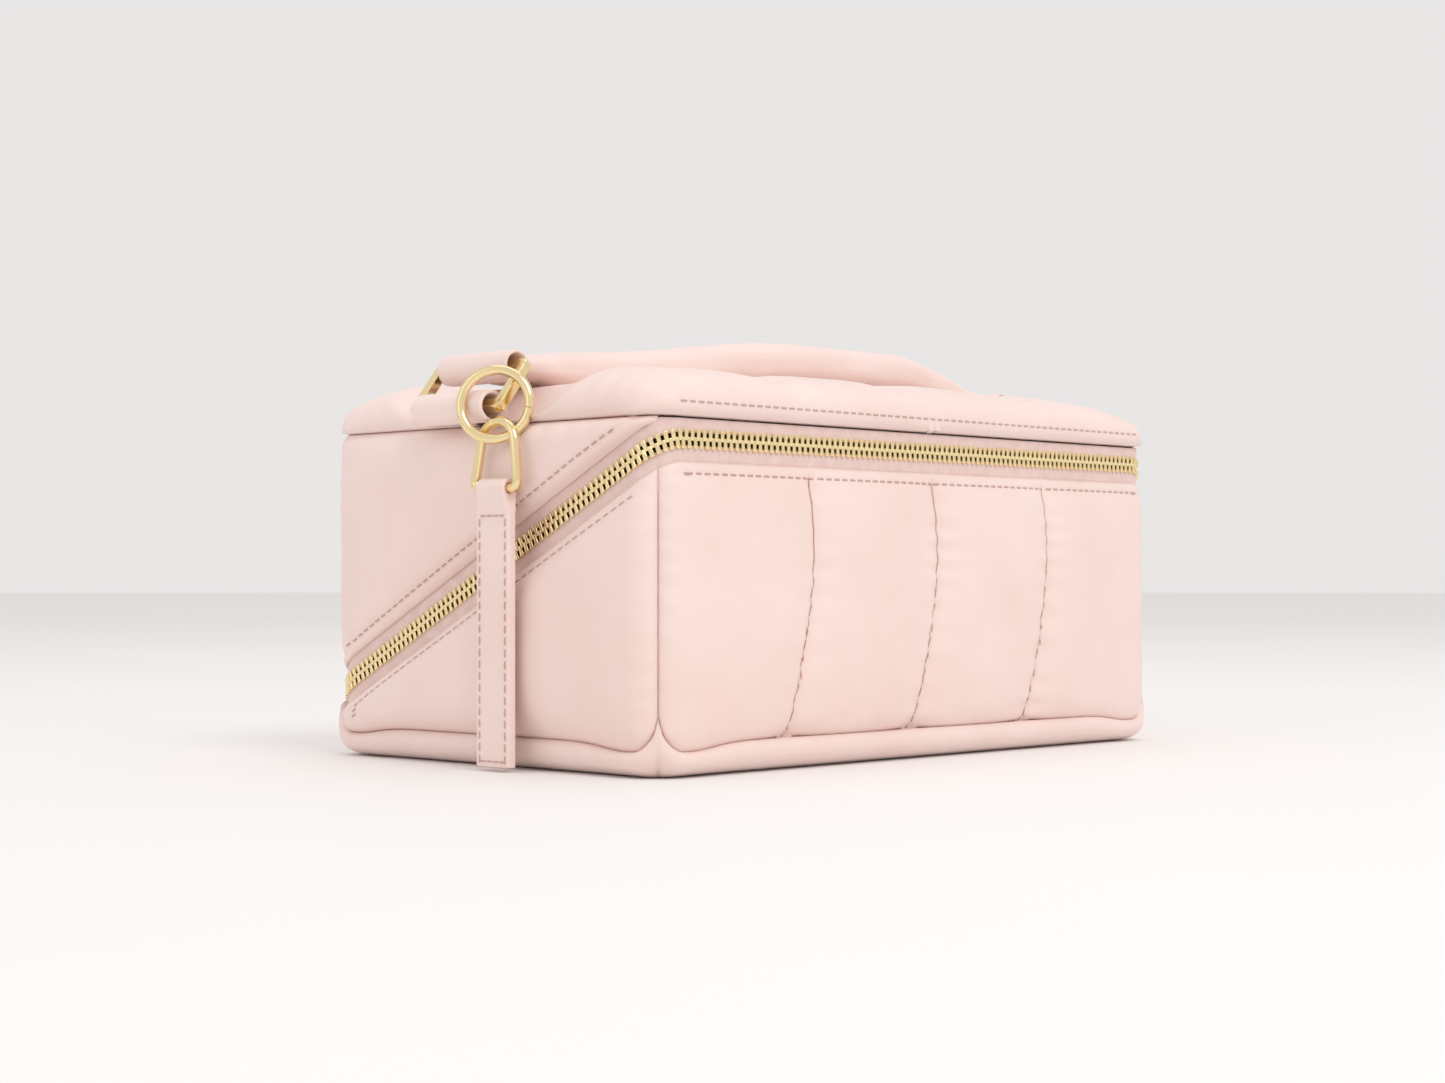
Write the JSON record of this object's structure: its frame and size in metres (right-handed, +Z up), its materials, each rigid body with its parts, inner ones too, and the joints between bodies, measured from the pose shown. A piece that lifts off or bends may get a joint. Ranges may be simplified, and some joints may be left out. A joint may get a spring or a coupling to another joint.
{
  "type": "makeup bag",
  "caption": "Quilted train-case makeup bag with a zip round its front and ends, a lid that folds back, a padded handle on oblong rings and a hanging charm.",
  "frame": {"origin": "On the surface the bag stands on, under the middle of its plan.", "axes": "+X along the bag's length, to the right as seen from its front; +Y from the front to the back; +Z up."},
  "size_m": [0.2795, 0.166, 0.1423],
  "materials": {
    "leather": "satin",
    "tape": "matte",
    "chain": "satin",
    "gold": "polished",
    "lining": "matte",
    "board": "matte",
    "core": "matte"
  },
  "bodies": {
    "base": {"base_bottom_panel": "leather", "base_front_panel": "leather", "base_right_end_panel": "leather", "base_left_end_panel": "leather", "base_lining": "lining", "base_board": "board", "base_hinge_strip": "leather", "base_zip_tape": "tape", "base_zip_chain": "chain", "base_zip_stop": "chain"},
    "lid": {"lid_top_panel": "leather", "lid_back_panel": "leather", "lid_right_end_panel": "leather", "lid_left_end_panel": "leather", "lid_lining": "lining", "lid_pocket": "lining", "lid_hinge_strip": "leather", "lid_zip_tape": "tape", "lid_zip_chain": "chain", "lid_zip_stop": "chain", "left_handle_tab": "leather", "right_handle_tab": "leather"},
    "ring_left": {"left_handle_ring": "gold"},
    "ring_right": {"right_handle_ring": "gold"},
    "handle_left": {"handle_cover_left": "leather", "handle_core_left": "core"},
    "handle_right": {"handle_cover_right": "leather", "handle_core_right": "core"},
    "charm_ring": {"charm_ring": "gold"},
    "charm_gate": {"charm_ring_gate": "gold"},
    "charm_link": {"charm_link": "gold"},
    "charm_tag": {"charm_tag": "leather"},
    "slider": {"zip_slider": "gold"},
    "puller": {"zip_puller": "gold"}
  },
  "joints": [
    {"name": "lid_open", "type": "hinge", "parent": "base", "child": "lid", "pos_m": [0, 0.079, 0.0196], "axis": [-1, 0, 0], "range_deg": [0, 95]},
    {"name": "handle_raise", "type": "hinge", "parent": "lid", "child": "ring_left", "pos_m": [-0.133, 0.004, 0.1119], "axis": [0, 1, 0], "range_deg": [0, 14]},
    {"name": "handle_left_bend", "type": "hinge", "parent": "ring_left", "child": "handle_left", "pos_m": [-0.12278, 0.004, 0.12498], "axis": [0, 1, 0], "range_deg": [-27.6, 0]},
    {"name": "handle_mid_bend", "type": "hinge", "parent": "handle_left", "child": "handle_right", "pos_m": [0, 0.004, 0.1269], "axis": [0, 1, 0], "range_deg": [0, 25.8]},
    {"name": "right_ring_swing", "type": "hinge", "parent": "lid", "child": "ring_right", "pos_m": [0.133, 0.004, 0.1119], "axis": [0, 1, 0], "range_deg": [-14.6, 0]},
    {"name": "charm_ring_turn", "type": "hinge", "parent": "ring_left", "child": "charm_ring", "pos_m": [-0.13386, -0.01492, 0.11215], "axis": [-0.8213, -0.5456, 0.1668], "range_deg": [-6, 2]},
    {"name": "gate_open", "type": "hinge", "parent": "charm_ring", "child": "charm_gate", "pos_m": [-0.1281, -0.02405, 0.11065], "axis": [0.8213, 0.5456, -0.1668], "range_deg": [0, 14], "stiffness_Nm_per_rad": 0.002},
    {"name": "link_swing", "type": "hinge", "parent": "charm_ring", "child": "charm_link", "pos_m": [-0.13537, -0.01593, 0.1014], "axis": [0.5534, -0.8329, 0], "range_deg": [-18, 2]},
    {"name": "tag_swing", "type": "hinge", "parent": "charm_link", "child": "charm_tag", "pos_m": [-0.13565, -0.01743, 0.08633], "axis": [0, 1, 0], "range_deg": [0, 80]},
    {"name": "slider_travel", "type": "slide", "parent": "base", "child": "slider", "axis": [0, -0.8912, 0.4535], "range_m": [0, 0.134]},
    {"name": "puller_flip", "type": "hinge", "parent": "slider", "child": "puller", "pos_m": [0.1287, 0.06, 0.02927], "axis": [0, -0.4535, -0.8912], "range_deg": [0, 150]}
  ],
  "couplings": [
    {"joint": "handle_left_bend", "follows": "handle_raise", "ratio": -1.88},
    {"joint": "handle_mid_bend", "follows": "handle_raise", "ratio": 1.76},
    {"joint": "right_ring_swing", "follows": "handle_raise", "ratio": -1}
  ]
}
